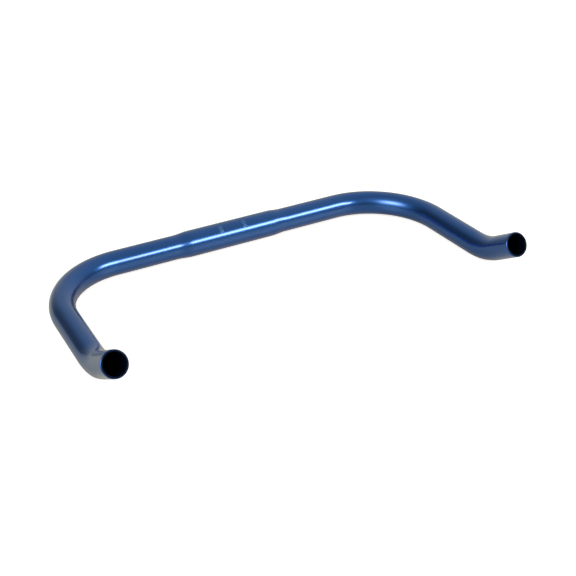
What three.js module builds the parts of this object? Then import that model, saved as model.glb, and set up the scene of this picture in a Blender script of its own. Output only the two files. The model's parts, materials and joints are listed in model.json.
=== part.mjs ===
// Bullhorn handlebar for a bicycle: one aluminium tube, swaged wider where the stem grips it
// and bent twice on each side. Its horns run forward and turn up, and both ends are open.
//
// Millimetres, +Z up, +X to one side, horns towards -Y. The origin is the middle of the clamp zone,
// on the tube's axis. The bar lies on a level surface: it touches with the underside of the clamp
// zone and with the undersides of the two forward bends.
import * as THREE from "three";

// The tube's section.
const GRIP_DIAMETER = 23.8;
const CLAMP_DIAMETER = 26.0;
const WALL = 2.0;
const GRIP_RADIUS = GRIP_DIAMETER / 2;
const BORE_RADIUS = GRIP_RADIUS - WALL;

// The centre straight, measured from the middle of the bar outwards.
const CLAMP_HALF_LENGTH = 44.5;
const TAPER_LENGTH = 15;
const CENTRE_HALF_LENGTH = 122.5;

// The outer bend turns the bar forward, and the forward bend turns its end up.
const OUTER_BEND_RADIUS = 76;
const OUTER_BEND_ANGLE = 87.5;
const HORN_LENGTH = 62;
const FORWARD_BEND_RADIUS = 64;
const TIP_RISE = 31;
const TIP_LENGTH = 30;

// The bar is bent flat and leans this far forward as it lies on its thicker middle.
const LEAN = 0.47;

// How finely the tube is divided.
const SIDES = 24;
const CENTRE_STEPS = 3;
const TAPER_STEPS = 2;
const SHOULDER_STEPS = 4;
const OUTER_BEND_STEPS = 16;
const HORN_STEPS = 4;
const FORWARD_BEND_STEPS = 6;
const TIP_STEPS = 2;

const radians = THREE.MathUtils.degToRad;

// A circular bend that leaves along one heading and arrives along another.
class Bend extends THREE.Curve {
  constructor(start, heading, exitHeading, radius) {
    super();
    this.start = start;
    this.heading = heading;
    this.angle = heading.angleTo(exitHeading);
    this.radius = radius;
    this.inward = exitHeading.clone().addScaledVector(heading, -exitHeading.dot(heading)).normalize();
  }

  getPoint(t) {
    const turned = t * this.angle;
    return this.start
      .clone()
      .addScaledVector(this.heading, this.radius * Math.sin(turned))
      .addScaledVector(this.inward, this.radius * (1 - Math.cos(turned)));
  }
}

function straight(start, heading, length) {
  return new THREE.LineCurve3(start, start.clone().addScaledVector(heading, length));
}

// One half of the centreline, from the middle of the bar to the end of its horn, as a list of
// curves with the number of steps that each one gets.
function halfCentreline() {
  const bend = radians(OUTER_BEND_ANGLE);
  const lean = radians(LEAN);
  const rise = radians(TIP_RISE);
  const across = new THREE.Vector3(1, 0, 0);
  const forward = new THREE.Vector3(
    Math.cos(bend),
    -Math.sin(bend) * Math.cos(lean),
    -Math.sin(bend) * Math.sin(lean),
  );
  const upward = new THREE.Vector3(0, -Math.cos(rise), Math.sin(rise));
  const taperEnd = CLAMP_HALF_LENGTH + TAPER_LENGTH;
  const pieces = [];
  let end = new THREE.Vector3();

  function add(curve, steps) {
    pieces.push({ curve, steps });
    end = curve.getPoint(1);
  }

  add(straight(end, across, CLAMP_HALF_LENGTH), CENTRE_STEPS);
  add(straight(end, across, TAPER_LENGTH), TAPER_STEPS);
  add(straight(end, across, CENTRE_HALF_LENGTH - taperEnd), SHOULDER_STEPS);
  add(new Bend(end, across, forward, OUTER_BEND_RADIUS), OUTER_BEND_STEPS);
  add(straight(end, forward, HORN_LENGTH), HORN_STEPS);
  add(new Bend(end, forward, upward, FORWARD_BEND_RADIUS), FORWARD_BEND_STEPS);
  add(straight(end, upward, TIP_LENGTH), TIP_STEPS);
  return pieces;
}

// The whole centreline, from one horn's end to the other. Equal steps of its parameter are the
// steps that the pieces were given, so that a ring of the tube falls on each end of a bend or taper.
class Centreline extends THREE.Curve {
  constructor(pieces) {
    super();
    this.pieces = pieces;
    this.halfSteps = pieces.reduce((sum, piece) => sum + piece.steps, 0);
  }

  getPoint(t) {
    const side = t < 0.5 ? -1 : 1;
    let left = Math.abs(2 * t - 1) * this.halfSteps;
    const last = this.pieces.length - 1;
    let index = 0;
    while (index < last && left > this.pieces[index].steps) {
      left -= this.pieces[index].steps;
      index += 1;
    }
    const point = this.pieces[index].curve.getPoint(left / this.pieces[index].steps);
    point.x *= side;
    return point;
  }

  getUtoTmapping(u) {
    return u;
  }
}

// The tube's section, as a ring.
function tubeSection() {
  const section = new THREE.Shape();
  section.absarc(0, 0, GRIP_RADIUS, 0, 2 * Math.PI);
  const bore = new THREE.Path();
  bore.absarc(0, 0, BORE_RADIUS, 0, 2 * Math.PI);
  section.holes.push(bore);
  return section;
}

// How much further from the axis the wall stands at a distance from the middle of the bar.
function swelling(distance) {
  const full = CLAMP_DIAMETER / 2 - GRIP_RADIUS;
  const down = (distance - CLAMP_HALF_LENGTH) / TAPER_LENGTH;
  return full * THREE.MathUtils.clamp(1 - down, 0, 1);
}

// Widens the tube around its clamp zone, which lies along the X axis.
function swellClampZone(geometry) {
  const position = geometry.getAttribute("position");
  for (let i = 0; i < position.count; i += 1) {
    const distance = Math.abs(position.getX(i));
    if (distance < CENTRE_HALF_LENGTH) {
      const y = position.getY(i);
      const z = position.getZ(i);
      const radius = Math.hypot(y, z);
      const grown = 1 + swelling(distance) / radius;
      position.setY(i, y * grown);
      position.setZ(i, z * grown);
    }
  }
}

function handlebarTube() {
  const centreline = new Centreline(halfCentreline());
  const geometry = new THREE.ExtrudeGeometry(tubeSection(), {
    steps: 2 * centreline.halfSteps,
    curveSegments: SIDES / 2,
    extrudePath: centreline,
  });
  swellClampZone(geometry);
  geometry.computeVertexNormals();
  return geometry;
}

const blueAnodising = new THREE.MeshStandardMaterial({
  color: 0x2f5f9e,
  roughness: 0.25,
  metalness: 0.9,
});

const handlebar = new THREE.Group();
const tube = new THREE.Mesh(handlebarTube(), blueAnodising);
tube.name = "handlebar_tube";
handlebar.add(tube);

export default handlebar;
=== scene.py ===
# %% [markdown]
# # A bullhorn handlebar
#
# This bar is one aluminium tube. At the mill it is drawn round and straight. A swaging machine then
# leaves it thicker in the middle, where the stem grips it, a bender turns each side forward and its
# end up, and the ends are cut square. Last it is polished and anodised blue, so the colour is a thin
# glassy oxide layer full of dye, with bright metal under it.
#
# The lesson follows that order. Geometry Nodes turn a straight tube on a lathe and bend it, three
# materials finish it, and a small studio lights it. Lengths are in metres, and angles are written in
# degrees and turned into radians where they are named.

# %% Load the frame
import json
import math

import bpy
from mathutils import Matrix, Vector


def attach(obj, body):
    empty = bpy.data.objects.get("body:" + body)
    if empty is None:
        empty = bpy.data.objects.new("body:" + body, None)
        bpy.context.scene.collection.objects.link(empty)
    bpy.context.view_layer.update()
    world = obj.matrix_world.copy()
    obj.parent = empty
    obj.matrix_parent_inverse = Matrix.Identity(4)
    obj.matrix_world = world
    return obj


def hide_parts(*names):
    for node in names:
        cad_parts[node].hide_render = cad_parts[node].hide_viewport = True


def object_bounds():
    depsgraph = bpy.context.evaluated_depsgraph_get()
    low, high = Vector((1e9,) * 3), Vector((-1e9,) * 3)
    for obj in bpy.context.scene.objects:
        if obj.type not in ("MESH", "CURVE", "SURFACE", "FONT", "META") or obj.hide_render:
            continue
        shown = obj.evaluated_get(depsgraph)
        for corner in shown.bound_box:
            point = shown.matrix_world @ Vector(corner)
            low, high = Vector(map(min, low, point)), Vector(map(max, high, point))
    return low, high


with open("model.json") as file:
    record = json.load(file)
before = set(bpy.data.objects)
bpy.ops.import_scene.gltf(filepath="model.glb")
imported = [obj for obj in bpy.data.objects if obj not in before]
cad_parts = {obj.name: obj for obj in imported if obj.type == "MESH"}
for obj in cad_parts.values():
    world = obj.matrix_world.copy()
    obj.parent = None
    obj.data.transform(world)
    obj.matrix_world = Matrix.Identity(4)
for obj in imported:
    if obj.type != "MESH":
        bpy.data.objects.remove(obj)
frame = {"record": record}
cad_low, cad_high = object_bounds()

mounts = {mount["name"]: mount for mount in frame["record"]["mounts"]}
print("CAD box", [round(x, 4) for x in cad_low], [round(x, 4) for x in cad_high])

# %% [markdown]
# ## Sizes
#
# The frame gives what it can. The bar lies on the underside of its clamp zone, and its origin is on
# the tube's axis there, so the lowest corner of the box gives the clamp radius. Each end face has a
# mount in the middle of its wall, so the box's width and that mount give half the wall, and the
# mount's axis gives the way the horn points. The rest are the bender's settings, in metres.

# %% Sizes from the frame, and the bender's settings
end_mount = mounts["right_end"]
CLAMP_RADIUS = -cad_low.z
WALL = 2 * (cad_high.x - end_mount["pos_m"][0])
GRIP_RADIUS = 0.0238 / 2

CLAMP_HALF_LENGTH = 0.0445
TAPER_LENGTH = 0.015
CENTRE_HALF_LENGTH = 0.1225
OUTER_BEND_RADIUS = 0.076
OUTER_BEND_ANGLE = math.radians(87.5)
HORN_LENGTH = 0.062
FORWARD_BEND_RADIUS = 0.064
TIP_LENGTH = 0.030
LEAN = math.radians(0.47)
MM = 1000
print(f"clamp {2 * CLAMP_RADIUS * MM:.1f} mm, tube {2 * GRIP_RADIUS * MM:.1f} mm")
print(f"wall {WALL * MM:.2f} mm")

# %% [markdown]
# ## The camera
#
# The camera stands to the left of the bar and looks down at it from about 30 degrees, from just over
# a metre away, so the near horn looks larger than the far one. It comes first, because every later
# choice is judged through it. It is placed by the point that it looks at on the surface under the
# bar, a direction and a distance, because those are the numbers that one changes on a set.

# %% The camera
CAMERA_AZIMUTH = math.radians(-30.1)
CAMERA_ELEVATION = math.radians(30.04)
CAMERA_ROLL = math.radians(0.16)
CAMERA_DISTANCE = 1.0840
CAMERA_LENS = 72.37
CAMERA_SENSOR = 36
CAMERA_AIM = Vector((0.0072, -0.1034, cad_low.z))


def direction(azimuth, elevation):
    """The unit vector towards an azimuth, 0 at -Y and 90 degrees at +X, and an elevation."""
    level = math.cos(elevation)
    return Vector((math.sin(azimuth) * level, -math.cos(azimuth) * level, math.sin(elevation)))


def add_camera():
    camera = bpy.data.objects.new("camera", bpy.data.cameras.new("camera"))
    camera.data.sensor_width = CAMERA_SENSOR
    camera.data.lens = CAMERA_LENS
    towards_camera = direction(CAMERA_AZIMUTH, CAMERA_ELEVATION)
    camera.location = CAMERA_AIM + towards_camera * CAMERA_DISTANCE
    upright = (-towards_camera).to_track_quat("-Z", "Y").to_matrix()
    camera.rotation_euler = (upright @ Matrix.Rotation(CAMERA_ROLL, 3, "Z")).to_euler()
    bpy.context.scene.collection.objects.link(camera)
    bpy.context.scene.camera = camera
    return camera


camera = add_camera()
print("camera at", [round(x, 3) for x in camera.location])

# %% [markdown]
# ## The centreline
#
# A bender works with straights and round bends, so the centreline is made of just those: a heading
# and a length, or a new heading and a radius. A Bezier curve can hold both. On a straight its handles
# are a third of the length, and on an arc they are 4/3 tan(angle / 4) of the radius, which stays
# within a few thousandths of a millimetre of a true circle when an arc is split every 30 degrees.
# Only one half is drawn. The other is its mirror image, so the bar can't come out lopsided.

# %% One half of the route, as Bezier knots
ARC_PIECE = math.radians(30)


def knot(place, heading):
    return {"place": place.copy(), "heading": heading.copy(), "before": 0.0, "after": 0.0}


def go_straight(knots, length):
    last = knots[-1]
    last["after"] = length / 3
    knots.append(knot(last["place"] + last["heading"] * length, last["heading"]))
    knots[-1]["before"] = length / 3


def go_round(knots, new_heading, radius):
    heading = knots[-1]["heading"].copy()
    place = knots[-1]["place"].copy()
    whole = heading.angle(new_heading)
    inward = (new_heading - heading * new_heading.dot(heading)).normalized()
    count = math.ceil(whole / ARC_PIECE)
    handle = radius * 4 / 3 * math.tan(whole / count / 4)
    for step in range(1, count + 1):
        turned = whole * step / count
        offset = heading * math.sin(turned) + inward * (1 - math.cos(turned))
        facing = heading * math.cos(turned) + inward * math.sin(turned)
        knots[-1]["after"] = handle
        knots.append(knot(place + offset * radius, facing))
        knots[-1]["before"] = handle


def half_route():
    """The knots from the middle of the bar to the right horn's end."""
    aside = math.cos(OUTER_BEND_ANGLE)
    ahead = math.sin(OUTER_BEND_ANGLE)
    forward = Vector((aside, -ahead * math.cos(LEAN), -ahead * math.sin(LEAN)))
    upward = Vector(end_mount["axis"]).normalized()
    knots = [knot(Vector((0, 0, 0)), Vector((1, 0, 0)))]
    go_straight(knots, CENTRE_HALF_LENGTH)
    go_round(knots, forward, OUTER_BEND_RADIUS)
    go_straight(knots, HORN_LENGTH)
    go_round(knots, upward, FORWARD_BEND_RADIUS)
    go_straight(knots, TIP_LENGTH)
    return knots


right_half = half_route()
end = right_half[-1]["place"]
mount_miss = (Vector(end_mount["pos_m"]) - end).dot(right_half[-1]["heading"])
print(len(right_half), "knots, end at", [round(x * MM, 1) for x in end], "mm")
print(f"the end is {mount_miss * MM:.3f} mm off its mount's face")

# %% The whole centreline as a curve object
POINTS_PER_PIECE = 32


def mirrored(k):
    """A knot's mirror image in the plane X = 0, with the route running the other way."""
    place = Vector((-k["place"].x, k["place"].y, k["place"].z))
    heading = Vector((k["heading"].x, -k["heading"].y, -k["heading"].z))
    return {"place": place, "heading": heading, "before": k["after"], "after": k["before"]}


def centreline_object():
    middle = dict(right_half[0], before=right_half[0]["after"])
    knots = [mirrored(k) for k in reversed(right_half[1:])] + [middle] + right_half[1:]
    data = bpy.data.curves.new("centreline", "CURVE")
    data.dimensions = "3D"
    data.resolution_u = POINTS_PER_PIECE
    spline = data.splines.new("BEZIER")
    spline.bezier_points.add(len(knots) - 1)
    for point, k in zip(spline.bezier_points, knots):
        point.handle_left_type = point.handle_right_type = "FREE"
        point.co = k["place"]
        point.handle_left = k["place"] - k["heading"] * k["before"]
        point.handle_right = k["place"] + k["heading"] * k["after"]
    made = bpy.data.objects.new("centreline", data)
    bpy.context.scene.collection.objects.link(made)
    return made, spline.calc_length()


centreline, tube_length = centreline_object()
print(f"the tube is {tube_length * MM:.1f} mm long along its axis")

# %% [markdown]
# ## Helpers for node trees
#
# Node trees are easier to read in code when each node is one line. `Tree` keeps a tree and adds a
# node with its settings and its inputs. An input given as a socket is linked, and anything else is
# set as its value. A Mix node has a set of sockets for each kind of data, so its two colours are its
# inputs 6 and 7, and the mixed colour is its output 2.

# %% A small wrapper for node trees


class Tree:
    def __init__(self, nodes, links):
        self.nodes = nodes
        self.links = links

    def add(self, kind, inputs=None, **settings):
        """A new node. Keys of inputs are socket names or numbers."""
        node = self.nodes.new(kind)
        for name, value in settings.items():
            setattr(node, name, value)
        for key, value in (inputs or {}).items():
            socket = node.inputs[key]
            if isinstance(value, bpy.types.NodeSocket):
                self.links.new(value, socket)
            else:
                socket.default_value = value
        return node

    def math(self, operation, *values):
        node = self.add("ShaderNodeMath", dict(enumerate(values)), operation=operation)
        return node.outputs[0]

    def vector(self, operation, *values):
        node = self.add("ShaderNodeVectorMath", dict(enumerate(values)), operation=operation)
        return node.outputs["Vector"]

    def parts(self, vector):
        """The X, Y and Z sockets of a vector."""
        return self.add("ShaderNodeSeparateXYZ", {0: vector}).outputs

    def smooth_step(self, value, low, high):
        """0 at low, 1 at high, and a smooth S between them."""
        limits = {"Value": value, "From Min": low, "From Max": high}
        node = self.add("ShaderNodeMapRange", limits, interpolation_type="SMOOTHSTEP")
        return node.outputs["Result"]

    def mix_numbers(self, factor, first, second):
        inputs = {"Factor": factor, "A": first, "B": second}
        return self.add("ShaderNodeMix", inputs, data_type="FLOAT").outputs["Result"]

    def mix_colours(self, factor, first, second):
        inputs = {"Factor": factor, 6: first, 7: second}
        return self.add("ShaderNodeMix", inputs, data_type="RGBA").outputs[2]


def add_sockets(group, inputs, outputs):
    """Names a node group's inputs and outputs. Each is a name, a socket type and a default."""
    for in_out, sockets in (("INPUT", inputs), ("OUTPUT", outputs)):
        for name, kind, default in sockets:
            socket = group.interface.new_socket(name, in_out=in_out, socket_type=kind)
            if default is not None:
                socket.default_value = default


print("helpers ready")

# %% [markdown]
# ## The tube, turned and then bent
#
# The tube could be swept along the curve with a circle for its outside and another for its bore, but
# the two would have to be stitched at the ends. Instead the tree does what a workshop does. It draws
# the wall's outline, a long thin rectangle with rounded corners, and turns it on a lathe, which gives
# one closed body with its bore, its cut faces and their rounded lips. It swells the middle by a rule.
# Then it bends the straight tube: a point's distance along the lathe axis becomes its distance along
# the centreline. Each point also remembers its place on the straight tube, so that a material can
# follow the metal round every bend.

# %% The tree's inputs
SIDES = 96
LIP_POINTS = 7
TUBE_INPUTS = [
    ("Geometry", "NodeSocketGeometry", None),
    ("Outer Radius", "NodeSocketFloat", 0.01),
    ("Wall", "NodeSocketFloat", 0.002),
    ("Swelling", "NodeSocketFloat", 0.001),
    ("Swelling Half Length", "NodeSocketFloat", 0.04),
    ("Taper Length", "NodeSocketFloat", 0.02),
    ("Outer Lip", "NodeSocketFloat", 0.001),
    ("Inner Lip", "NodeSocketFloat", 0.0003),
    ("Cut Face Depth", "NodeSocketFloat", 0.0001),
    ("Outer Step", "NodeSocketFloat", 0.0015),
    ("Bore Step", "NodeSocketFloat", 0.006),
    ("Sides", "NodeSocketInt", 64),
    ("Outside", "NodeSocketMaterial", None),
    ("Cut Face", "NodeSocketMaterial", None),
    ("Bore", "NodeSocketMaterial", None),
]


def wall_outline(tree, sizes, length):
    """The wall cut along its length: a thin rectangle with small round corners, in fine steps."""
    flat = tree.add(
        "GeometryNodeCurvePrimitiveQuadrilateral",
        {"Width": sizes["Wall"], "Height": length},
    )
    place = tree.add("GeometryNodeInputPosition").outputs[0]
    on_bore = tree.math("LESS_THAN", tree.parts(place)["X"], 0.0)
    difference = tree.math("SUBTRACT", sizes["Outer Lip"], sizes["Inner Lip"])
    lip = tree.math("SUBTRACT", sizes["Outer Lip"], tree.math("MULTIPLY", on_bore, difference))
    rounded = tree.add(
        "GeometryNodeFilletCurve",
        {"Curve": flat.outputs["Curve"], "Radius": lip, "Count": LIP_POINTS},
        mode="POLY",
    )
    neighbour = tree.add("GeometryNodeOffsetPointInCurve", {"Offset": 1}).outputs["Point Index"]
    next_place = tree.add("GeometryNodeFieldAtIndex", data_type="FLOAT_VECTOR", domain="POINT")
    tree.links.new(place, next_place.inputs["Value"])
    tree.links.new(neighbour, next_place.inputs["Index"])
    ends = {0: place, 1: next_place.outputs["Value"]}
    gap = tree.add("ShaderNodeVectorMath", ends, operation="DISTANCE").outputs["Value"]
    coarser = tree.math("SUBTRACT", sizes["Bore Step"], sizes["Outer Step"])
    step = tree.math("ADD", sizes["Outer Step"], tree.math("MULTIPLY", on_bore, coarser))
    cuts = tree.math("FLOOR", tree.math("DIVIDE", gap, step))
    inputs = {"Curve": rounded.outputs["Curve"], "Cuts": cuts}
    return tree.add("GeometryNodeSubdivideCurve", inputs).outputs["Curve"]


def turned_wall(tree, sizes, length):
    """The straight tube: the wall's outline turned round the Z axis."""
    half_wall = tree.math("DIVIDE", sizes["Wall"], 2.0)
    middle_radius = tree.math("SUBTRACT", sizes["Outer Radius"], half_wall)
    lathe = tree.add(
        "GeometryNodeCurvePrimitiveCircle",
        {"Resolution": sizes["Sides"], "Radius": middle_radius},
    )
    inputs = {"Curve": lathe.outputs["Curve"]}
    upright = tree.add("GeometryNodeSetCurveNormal", inputs, mode="Z_UP")
    inputs = {
        "Curve": upright.outputs["Curve"],
        "Profile Curve": wall_outline(tree, sizes, length),
    }
    return tree.add("GeometryNodeCurveToMesh", inputs).outputs["Mesh"]


print("outline:", [name for name, _, _ in TUBE_INPUTS[1:7]])

# %% The swelling in the middle


def swelling_at(tree, sizes, along):
    """How much further from the axis the wall stands, at a distance from the middle of the bar.

    The swage dies leave the clamp zone and meet the thin tube in a smooth S.
    """
    past = tree.math("SUBTRACT", tree.math("ABSOLUTE", along), sizes["Swelling Half Length"])
    lost = tree.smooth_step(past, 0.0, sizes["Taper Length"])
    return tree.math("MULTIPLY", sizes["Swelling"], tree.math("SUBTRACT", 1.0, lost))


swelling_mm = (CLAMP_RADIUS - GRIP_RADIUS) * MM
print(f"the wall swells by {swelling_mm:.1f} mm over {TAPER_LENGTH * MM:.0f} mm")

# %% Bending the straight tube along the centreline


def bent(tree, sizes, mesh, length, curve):
    """Moves each point of the straight tube to its place round the centreline."""
    place = tree.add("GeometryNodeInputPosition").outputs[0]
    remembered = tree.add(
        "GeometryNodeStoreNamedAttribute",
        {"Geometry": mesh, "Name": "straight_place"},
        data_type="FLOAT_VECTOR",
        domain="POINT",
    )
    tree.links.new(place, remembered.inputs["Value"])
    straight = tree.parts(place)
    level = tree.add("ShaderNodeCombineXYZ", {"X": straight["X"], "Y": straight["Y"]}).outputs[0]
    outward = tree.parts(tree.vector("NORMALIZE", level))
    swell = swelling_at(tree, sizes, straight["Z"])
    aside = [
        tree.math("ADD", straight[axis], tree.math("MULTIPLY", outward[axis], swell))
        for axis in "XY"
    ]
    along = tree.math("ADD", straight["Z"], tree.math("DIVIDE", length, 2.0))
    sample = tree.add(
        "GeometryNodeSampleCurve",
        {"Curves": curve, "Length": along},
        mode="LENGTH",
        use_all_curves=True,
    )
    normal = sample.outputs["Normal"]
    binormal = tree.vector("CROSS_PRODUCT", sample.outputs["Tangent"], normal)
    spot = sample.outputs["Position"]
    for axis, amount in ((normal, aside[0]), (binormal, aside[1])):
        inputs = {"Vector": axis, "Scale": amount}
        shift = tree.add("ShaderNodeVectorMath", inputs, operation="SCALE")
        spot = tree.vector("ADD", spot, shift.outputs["Vector"])
    inputs = {"Geometry": remembered.outputs["Geometry"], "Position": spot}
    return tree.add("GeometryNodeSetPosition", inputs).outputs["Geometry"]


print("each point remembers its straight_place")

# %% Which finish each face gets, and the whole tree
BORE_STARTS_AT = 0.95


def with_finishes(tree, sizes, mesh, length):
    """Gives the outside, the bore and the cut faces their materials, by their straight place."""
    remembered = tree.add(
        "GeometryNodeInputNamedAttribute",
        {"Name": "straight_place"},
        data_type="FLOAT_VECTOR",
    )
    place = tree.parts(remembered.outputs["Attribute"])
    squares = [tree.math("MULTIPLY", place[axis], place[axis]) for axis in "XY"]
    from_axis = tree.math("SQRT", tree.math("ADD", *squares))
    most_of_wall = tree.math("MULTIPLY", sizes["Wall"], BORE_STARTS_AT)
    bore_limit = tree.math("SUBTRACT", sizes["Outer Radius"], most_of_wall)
    in_bore = tree.math("LESS_THAN", from_axis, bore_limit)
    half_length = tree.math("DIVIDE", length, 2.0)
    face_limit = tree.math("SUBTRACT", half_length, sizes["Cut Face Depth"])
    on_cut = tree.math("GREATER_THAN", tree.math("ABSOLUTE", place["Z"]), face_limit)
    for selection, name in ((True, "Outside"), (in_bore, "Bore"), (on_cut, "Cut Face")):
        inputs = {"Geometry": mesh, "Selection": selection, "Material": sizes[name]}
        mesh = tree.add("GeometryNodeSetMaterial", inputs).outputs["Geometry"]
    return mesh


def tube_tree():
    group = bpy.data.node_groups.new("turned and bent tube", "GeometryNodeTree")
    add_sockets(group, TUBE_INPUTS, [("Geometry", "NodeSocketGeometry", None)])
    tree = Tree(group.nodes, group.links)
    sizes = tree.add("NodeGroupInput").outputs
    level = tree.add("GeometryNodeSetCurveNormal", {"Curve": sizes["Geometry"]}, mode="Z_UP")
    curve = level.outputs["Curve"]
    length = tree.add("GeometryNodeCurveLength", {"Curve": curve}).outputs["Length"]
    wall = turned_wall(tree, sizes, length)
    shaped = bent(tree, sizes, wall, length, curve)
    inputs = {"Geometry": shaped, "Shade Smooth": True}
    smooth = tree.add("GeometryNodeSetShadeSmooth", inputs)
    real = tree.add("GeometryNodeRealizeInstances", {"Geometry": smooth.outputs["Geometry"]})
    finished = with_finishes(tree, sizes, real.outputs["Geometry"], length)
    output = tree.add("NodeGroupOutput")
    tree.links.new(finished, output.inputs["Geometry"])
    return group


tube_group = tube_tree()
print("tube tree:", len(tube_group.nodes), "nodes")

# %% [markdown]
# ## Finishes
#
# Anodising grows a clear, hard oxide layer out of the metal, and dye fills its pores. Light goes
# through the dye, off the bright metal and back out, so the colour behaves like a coloured metal, and
# the layer's own surface adds a second, uncoloured reflection that grows towards grazing angles. A
# metallic Principled shader with a coat says exactly that: the base is the dyed metal and the coat is
# the oxide's surface.
#
# Two effects are shared by all three finishes, so each is a node group. `dye depth` is the slow
# drift of the dye along a piece, and `tool lines` are fine lines that run with the tool.

# %% Node groups: dye depth and tool lines
DYE_DETAIL = 3.0
DYE_ROUGHNESS = 0.55
LINE_DETAIL = 2.0


def noise(tree, vector, scale, detail, roughness):
    inputs = {"Vector": vector, "Scale": scale, "Detail": detail, "Roughness": roughness}
    return tree.add("ShaderNodeTexNoise", inputs).outputs[0]


def straight_place(tree):
    """Where each point was on the straight tube, before it was bent."""
    return tree.add("ShaderNodeAttribute", attribute_name="straight_place").outputs["Vector"]


def shader_group(name, inputs, outputs):
    group = bpy.data.node_groups.new(name, "ShaderNodeTree")
    add_sockets(group, inputs, outputs)
    tree = Tree(group.nodes, group.links)
    return group, tree, tree.add("NodeGroupInput").outputs, tree.add("NodeGroupOutput").inputs


def dye_depth_group():
    """Mixes a lighter and a deeper dye with slow, soft noise that follows the metal."""
    group, tree, given, result = shader_group(
        "dye depth",
        [
            ("Lighter", "NodeSocketColor", (0.2, 0.4, 0.7, 1)),
            ("Deeper", "NodeSocketColor", (0.1, 0.2, 0.5, 1)),
            ("Patch Size", "NodeSocketFloat", 0.02),
        ],
        [("Color", "NodeSocketColor", None)],
    )
    place = straight_place(tree)
    scale = tree.math("DIVIDE", 1.0, given["Patch Size"])
    drift = noise(tree, place, scale, DYE_DETAIL, DYE_ROUGHNESS)
    colour = tree.mix_colours(drift, given["Lighter"], given["Deeper"])
    tree.links.new(colour, result["Color"])
    return group


def tool_lines_group():
    """Noise squeezed across the tool's path and stretched along it."""
    group, tree, given, result = shader_group(
        "tool lines",
        [
            ("Spacing", "NodeSocketVector", (0.0002, 0.0002, 0.02)),
            ("Sharpness", "NodeSocketFloat", 0.5),
        ],
        [("Lines", "NodeSocketFloat", None)],
    )
    spread = tree.vector("DIVIDE", straight_place(tree), given["Spacing"])
    lines = noise(tree, spread, 1.0, LINE_DETAIL, given["Sharpness"])
    tree.links.new(lines, result["Lines"])
    return group


dye_depth = dye_depth_group()
tool_lines = tool_lines_group()
print("node groups:", dye_depth.name, "and", tool_lines.name)

# %% [markdown]
# ### The index marks
#
# A rider sets a bar's tilt by two small ladders of fine lines on top of the clamp zone, one on each
# side of the middle. They are etched into the surface before it is dyed, so they are rougher and
# scatter the light, and their lighter blue is painted sheen. They have no depth that could be seen,
# so
# they are a mask in the material and not a shape. The mask is worked out from the straight tube:
# distance along it, and angle round it.

# %% The index marks, with angles from the top of the tube towards the front
MARK_DISTANCE = 0.0128
MARK_LENGTH = 0.0042
RUNG_FIRST = math.radians(18)
RUNG_STEP = math.radians(7)
RUNG_COUNT = 5
RUNG_WIDTH = math.radians(3)
RUNG_SOFT = math.radians(1)
MARK_SOFT = 0.0003


def soft_band(tree, distance, half_width, soft):
    """1 where a distance is under half_width, and 0 past it, with an edge as wide as soft."""
    return tree.smooth_step(distance, half_width + soft / 2, half_width - soft / 2)


def index_marks(tree):
    """A mask of two ladders of etched lines on top of the clamp zone."""
    place = tree.parts(straight_place(tree))
    from_middle = tree.math("ABSOLUTE", place["Z"])
    from_ladder = tree.math("ABSOLUTE", tree.math("SUBTRACT", from_middle, MARK_DISTANCE))
    ladder = soft_band(tree, from_ladder, MARK_LENGTH / 2, MARK_SOFT)
    upward = tree.math("MULTIPLY", place["Y"], -1.0)
    from_top = tree.math("ARCTAN2", place["X"], upward)
    past_first = tree.math("SUBTRACT", from_top, RUNG_FIRST)
    nearest = tree.math("ROUND", tree.math("DIVIDE", past_first, RUNG_STEP))
    rung = tree.math("MINIMUM", tree.math("MAXIMUM", nearest, 0.0), RUNG_COUNT - 1.0)
    to_rung = tree.math("MULTIPLY", rung, RUNG_STEP)
    from_rung = tree.math("ABSOLUTE", tree.math("SUBTRACT", past_first, to_rung))
    rungs = soft_band(tree, from_rung, RUNG_WIDTH / 2, RUNG_SOFT)
    return tree.math("MULTIPLY", ladder, rungs)


print(f"{RUNG_COUNT} rungs a side, {RUNG_STEP * CLAMP_RADIUS * MM:.1f} mm apart")

# %% [markdown]
# ### Three finishes
#
# The outside is buffed along the tube before it is dyed, so its lines run lengthways and it is
# nearly a mirror, right over its rounded lips. The sawn ends are left dull, and their colour is
# painted nearly black as painted shade. The bore is left as drawn, so it is rougher than the outside,
# and its colour is set darker. One function makes all three, and what differs between them is a table
# of values.

# %% One function for all three finishes
OXIDE_IOR = 1.5
OXIDE_ROUGHNESS = 0.15
# A lighter blue for the etched marks: painted sheen where the rough etching catches light.
ETCHED_SHEEN_COLOUR = (0.08, 0.26, 0.6, 1)
ETCHED_ROUGHNESS = 0.45
LINE_STRENGTH = 0.2


def new_material(name):
    material = bpy.data.materials.new(name)
    material.use_nodes = True
    tree = Tree(material.node_tree.nodes, material.node_tree.links)
    return material, tree, material.node_tree.nodes["Principled BSDF"]


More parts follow.
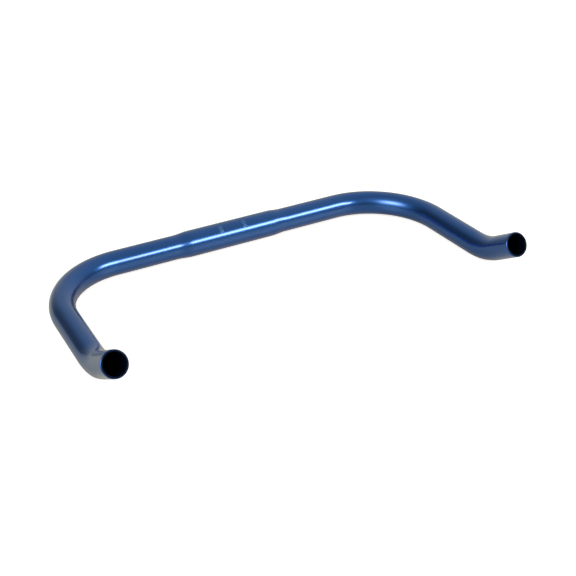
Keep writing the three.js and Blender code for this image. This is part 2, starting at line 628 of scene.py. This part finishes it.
def anodised(name, lighter, deeper, patch, spacing, rough, spread, relief, coat, marked):
    """Dyed metal under its clear oxide. spread is how far the lines vary the roughness."""
    material, tree, shader = new_material(name)
    shader.inputs["Metallic"].default_value = 1.0
    shader.inputs["Coat Weight"].default_value = coat
    shader.inputs["Coat IOR"].default_value = OXIDE_IOR
    shader.inputs["Coat Roughness"].default_value = OXIDE_ROUGHNESS
    dye = tree.add("ShaderNodeGroup", node_tree=dye_depth)
    dye.inputs["Lighter"].default_value = (*lighter, 1)
    dye.inputs["Deeper"].default_value = (*deeper, 1)
    dye.inputs["Patch Size"].default_value = patch
    tool = tree.add("ShaderNodeGroup", node_tree=tool_lines)
    tool.inputs["Spacing"].default_value = spacing
    colour = dye.outputs["Color"]
    lines = tool.outputs["Lines"]
    roughness = tree.math("ADD", rough - spread / 2, tree.math("MULTIPLY", lines, spread))
    if marked:
        mask = index_marks(tree)
        # The marks get the lighter blue as painted sheen, and more roughness below.
        colour = tree.mix_colours(mask, colour, ETCHED_SHEEN_COLOUR)
        etched = tree.math("MULTIPLY", mask, ETCHED_ROUGHNESS - rough)
        roughness = tree.math("ADD", roughness, etched)
    tree.links.new(colour, shader.inputs["Base Color"])
    tree.links.new(roughness, shader.inputs["Roughness"])
    inputs = {"Strength": LINE_STRENGTH, "Distance": relief, "Height": lines}
    bump = tree.add("ShaderNodeBump", inputs)
    tree.links.new(bump.outputs["Normal"], shader.inputs["Normal"])
    return material


print("the oxide layer refracts", OXIDE_IOR, "and its roughness is", OXIDE_ROUGHNESS)

# %% The three materials, with lengths in metres
outside = anodised(
    "polished_blue_anodising",
    lighter=(0.002, 0.095, 0.41),
    deeper=(0.001, 0.081, 0.365),
    patch=0.05,
    spacing=(0.0004, 0.0004, 0.03),
    rough=0.24,
    spread=0.04,
    relief=0.00001,
    coat=1.0,
    marked=True,
)
# The cut faces' near-black colour is painted shade on the sawn ends.
cut_face = anodised(
    "cut_face_painted_shade",
    lighter=(0.0004, 0.004, 0.018),
    deeper=(0.0003, 0.003, 0.013),
    patch=0.004,
    spacing=(0.0003, 0.0003, 0.0001),
    rough=0.3,
    spread=0.1,
    relief=0.00002,
    coat=0.05,
    marked=False,
)
bore = anodised(
    "bore_blue_anodising",
    lighter=(0.003, 0.03, 0.1),
    deeper=(0.002, 0.02, 0.07),
    patch=0.01,
    spacing=(0.0006, 0.0006, 0.01),
    rough=0.45,
    spread=0.15,
    relief=0.00004,
    coat=1.0,
    marked=False,
)
print("materials:", outside.name, cut_face.name, bore.name)

# %% [markdown]
# ## Making the handlebar
#
# The tree runs as a modifier on the centreline. Its inputs are set by each socket's identifier before
# it is first evaluated. The evaluated result is copied to a plain mesh, and the centreline goes. The
# new piece rides on the bar's only body and stands for the CAD tube.

# %% The tube's sizes
OUTER_LIP = 0.0010
INNER_LIP = 0.0003
CUT_FACE_DEPTH = 0.0001
OUTER_STEP = 0.0015
BORE_STEP = 0.006
TUBE_SIZES = {
    "Outer Radius": GRIP_RADIUS,
    "Wall": WALL,
    "Swelling": CLAMP_RADIUS - GRIP_RADIUS,
    "Swelling Half Length": CLAMP_HALF_LENGTH,
    "Taper Length": TAPER_LENGTH,
    "Outer Lip": OUTER_LIP,
    "Inner Lip": INNER_LIP,
    "Cut Face Depth": CUT_FACE_DEPTH,
    "Outer Step": OUTER_STEP,
    "Bore Step": BORE_STEP,
    "Sides": SIDES,
    "Outside": outside,
    "Cut Face": cut_face,
    "Bore": bore,
}
print("lips", OUTER_LIP * MM, "mm outside and", INNER_LIP * MM, "mm inside")

# %% The handlebar


def evaluated_piece(source, group, values, name):
    """Runs a tree on an object and gives back its result as a plain mesh object.

    The source object is removed, because only the finished piece belongs in the scene.
    """
    modifier = source.modifiers.new(group.name, "NODES")
    modifier.node_group = group
    for item in group.interface.items_tree:
        if item.in_out == "INPUT" and item.name in values:
            modifier[item.identifier] = values[item.name]
    bpy.context.view_layer.update()
    evaluated = source.evaluated_get(bpy.context.evaluated_depsgraph_get())
    mesh = bpy.data.meshes.new_from_object(evaluated)
    piece = bpy.data.objects.new(name, mesh)
    bpy.context.scene.collection.objects.link(piece)
    source.modifiers.remove(modifier)
    bpy.data.objects.remove(source)
    return piece


handlebar = evaluated_piece(centreline, tube_group, TUBE_SIZES, "handlebar")
mesh = handlebar.data
print("handlebar:", len(mesh.vertices), "vertices,", len(mesh.polygons), "faces")

# %% Riding on the frame
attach(handlebar, "root")
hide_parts("handlebar_tube")

# %% [markdown]
# ## The studio
#
# A polished tube shows its surroundings more than its own colour, so the studio is designed as a set
# of reflections. Two soft boxes stand on either side of the camera. The right one draws the long thin
# streak along the centre of the bar, and the left one the soft patch on the far bend. The room is mid
# grey, with darker parts where nothing stands: those give the navy bands along the horns.
#
# The boxes are warm. Blue metal turns white light into blue, so a white box would be seen in it as a
# cyan streak, and a warm one comes out nearly white. The floor is a little cool to balance them.
#
# The floor is pale. In a studio it is lit until it is pure white to the camera, while the bar still
# sees it as pale grey. The floor's material does the same: it glows for camera rays only.

# %% The floor
FLOOR_HALF = 6.0
FLOOR_DROP = 0.0002
FLOOR_COLOUR = (0.48, 0.565, 0.55, 1)
FLOOR_ROUGHNESS = 0.35
FLOOR_GLOW = 0.8
FLOOR_GLOW_COLOUR = (1, 1, 1, 1)


def floor_material():
    material, tree, shader = new_material("pale_floor")
    shader.inputs["Base Color"].default_value = FLOOR_COLOUR
    shader.inputs["Roughness"].default_value = FLOOR_ROUGHNESS
    shader.inputs["Emission Color"].default_value = FLOOR_GLOW_COLOUR
    to_camera = tree.add("ShaderNodeLightPath").outputs["Is Camera Ray"]
    glow = tree.math("MULTIPLY", to_camera, FLOOR_GLOW)
    tree.links.new(glow, shader.inputs["Emission Strength"])
    return material


def add_floor():
    z = cad_low.z - FLOOR_DROP
    corners = [(x * FLOOR_HALF, y * FLOOR_HALF, z) for x, y in ((-1, -1), (1, -1), (1, 1), (-1, 1))]
    sheet = bpy.data.meshes.new("floor")
    sheet.from_pydata(corners, [], [(0, 1, 2, 3)])
    made = bpy.data.objects.new("floor", sheet)
    made.data.materials.append(floor_material())
    bpy.context.scene.collection.objects.link(made)
    return made


floor = add_floor()
print("floor at z =", round(cad_low.z - FLOOR_DROP, 4))

# %% [markdown]
# ### Soft boxes
#
# A real soft box is brightest in the middle of its cloth and fades towards its frame. An area light's
# own nodes can do that, because the Parametric output runs from 0 to 1 across the light.

# %% The soft boxes
SOFT_BOX_DISTANCE = 3.0
SOFT_BOX_COLOUR = (1.0, 0.66, 0.48)


def faded_cloth(light, fades):
    """Makes a light fade out towards its sides and its ends, over a share of the way in."""
    light.use_nodes = True
    tree = Tree(light.node_tree.nodes, light.node_tree.links)
    emission = light.node_tree.nodes["Emission"]
    across = tree.parts(tree.add("ShaderNodeNewGeometry").outputs["Parametric"])
    glow = 1.0
    for axis, fade in zip("XY", fades):
        from_middle = tree.math("ABSOLUTE", tree.math("SUBTRACT", across[axis], 0.5))
        side = tree.smooth_step(from_middle, 0.5, 0.5 - fade / 2)
        glow = tree.math("MULTIPLY", side, glow)
    tree.links.new(glow, emission.inputs["Strength"])


def cloth_size(angle):
    """The side of a cloth that looks this many degrees wide from the bar."""
    return 2 * SOFT_BOX_DISTANCE * math.tan(math.radians(angle / 2))


def add_soft_box(name, azimuth, elevation, wide, high, radiance, fades):
    """A soft box that faces the bar. Its angles are seen from the bar, in degrees."""
    data = bpy.data.lights.new(name, "AREA")
    data.shape = "RECTANGLE"
    data.size = cloth_size(wide)
    data.size_y = cloth_size(high)
    data.energy = radiance * data.size * data.size_y * math.pi
    data.color = SOFT_BOX_COLOUR
    faded_cloth(data, fades)
    made = bpy.data.objects.new(name, data)
    towards = direction(math.radians(azimuth), math.radians(elevation))
    made.location = towards * SOFT_BOX_DISTANCE
    made.rotation_euler = towards.to_track_quat("Z", "Y").to_euler()
    bpy.context.scene.collection.objects.link(made)
    print(f"{name}: {data.size:.2f} m wide, {data.size_y:.2f} m high")


add_soft_box(
    "right_soft_box",
    azimuth=33,
    elevation=30.5,
    wide=36.5,
    high=19,
    radiance=14.5,
    fades=(0.3, 0.4),
)
add_soft_box(
    "left_soft_box",
    azimuth=-60,
    elevation=36,
    wide=52,
    high=44,
    radiance=10.0,
    fades=(0.95, 0.95),
)

# %% [markdown]
# ### The room
#
# The world's light can depend on direction. Each part of the room is a round patch: a centre, the
# angles from it where the patch starts to fade and has gone, and how bright it is. Camera rays skip
# all that and see plain white.

# %% The room, as azimuth, elevation, inner and outer angle in degrees, and radiance
WHITE = (1, 1, 1, 1)
ROOM_COLOUR = (0.95, 1.0, 0.89, 1)
ROOM_RADIANCE = 0.5
ROOM_PARTS = {
    "glow round the left box": (-60, 34, 6, 50, 1.2),
    "gap between the boxes": (-16, 12, 10, 30, 0.34),
    "right of the boxes": (72, 12, 10, 30, 0.33),
    "bright back right": (110, 40, 15, 50, 0.62),
    "dark back left": (-131, 12, 15, 60, 0.15),
}


def room_part(tree, towards, radiance, azimuth, elevation, inner, outer, patch):
    """Mixes one round patch into the room's radiance."""
    centre = direction(math.radians(azimuth), math.radians(elevation))
    both = {0: towards, 1: centre}
    cosine = tree.add("ShaderNodeVectorMath", both, operation="DOT_PRODUCT").outputs["Value"]
    away = tree.math("ARCCOSINE", cosine)
    share = tree.smooth_step(away, math.radians(outer), math.radians(inner))
    return tree.mix_numbers(share, radiance, patch)


def light_room():
    world = bpy.data.worlds.new("room")
    world.use_nodes = True
    tree = Tree(world.node_tree.nodes, world.node_tree.links)
    background = world.node_tree.nodes["Background"]
    towards = tree.add("ShaderNodeTexCoord").outputs["Generated"]
    radiance = ROOM_RADIANCE
    for part in ROOM_PARTS.values():
        radiance = room_part(tree, towards, radiance, *part)
    to_camera = tree.add("ShaderNodeLightPath").outputs["Is Camera Ray"]
    strength = tree.mix_numbers(to_camera, radiance, 1.0)
    colour = tree.mix_colours(to_camera, ROOM_COLOUR, WHITE)
    tree.links.new(strength, background.inputs["Strength"])
    tree.links.new(colour, background.inputs["Color"])
    bpy.context.scene.world = world


light_room()
bpy.context.scene.view_settings.view_transform = "Standard"
print("room radiance", ROOM_RADIANCE, "with", len(ROOM_PARTS), "patches")
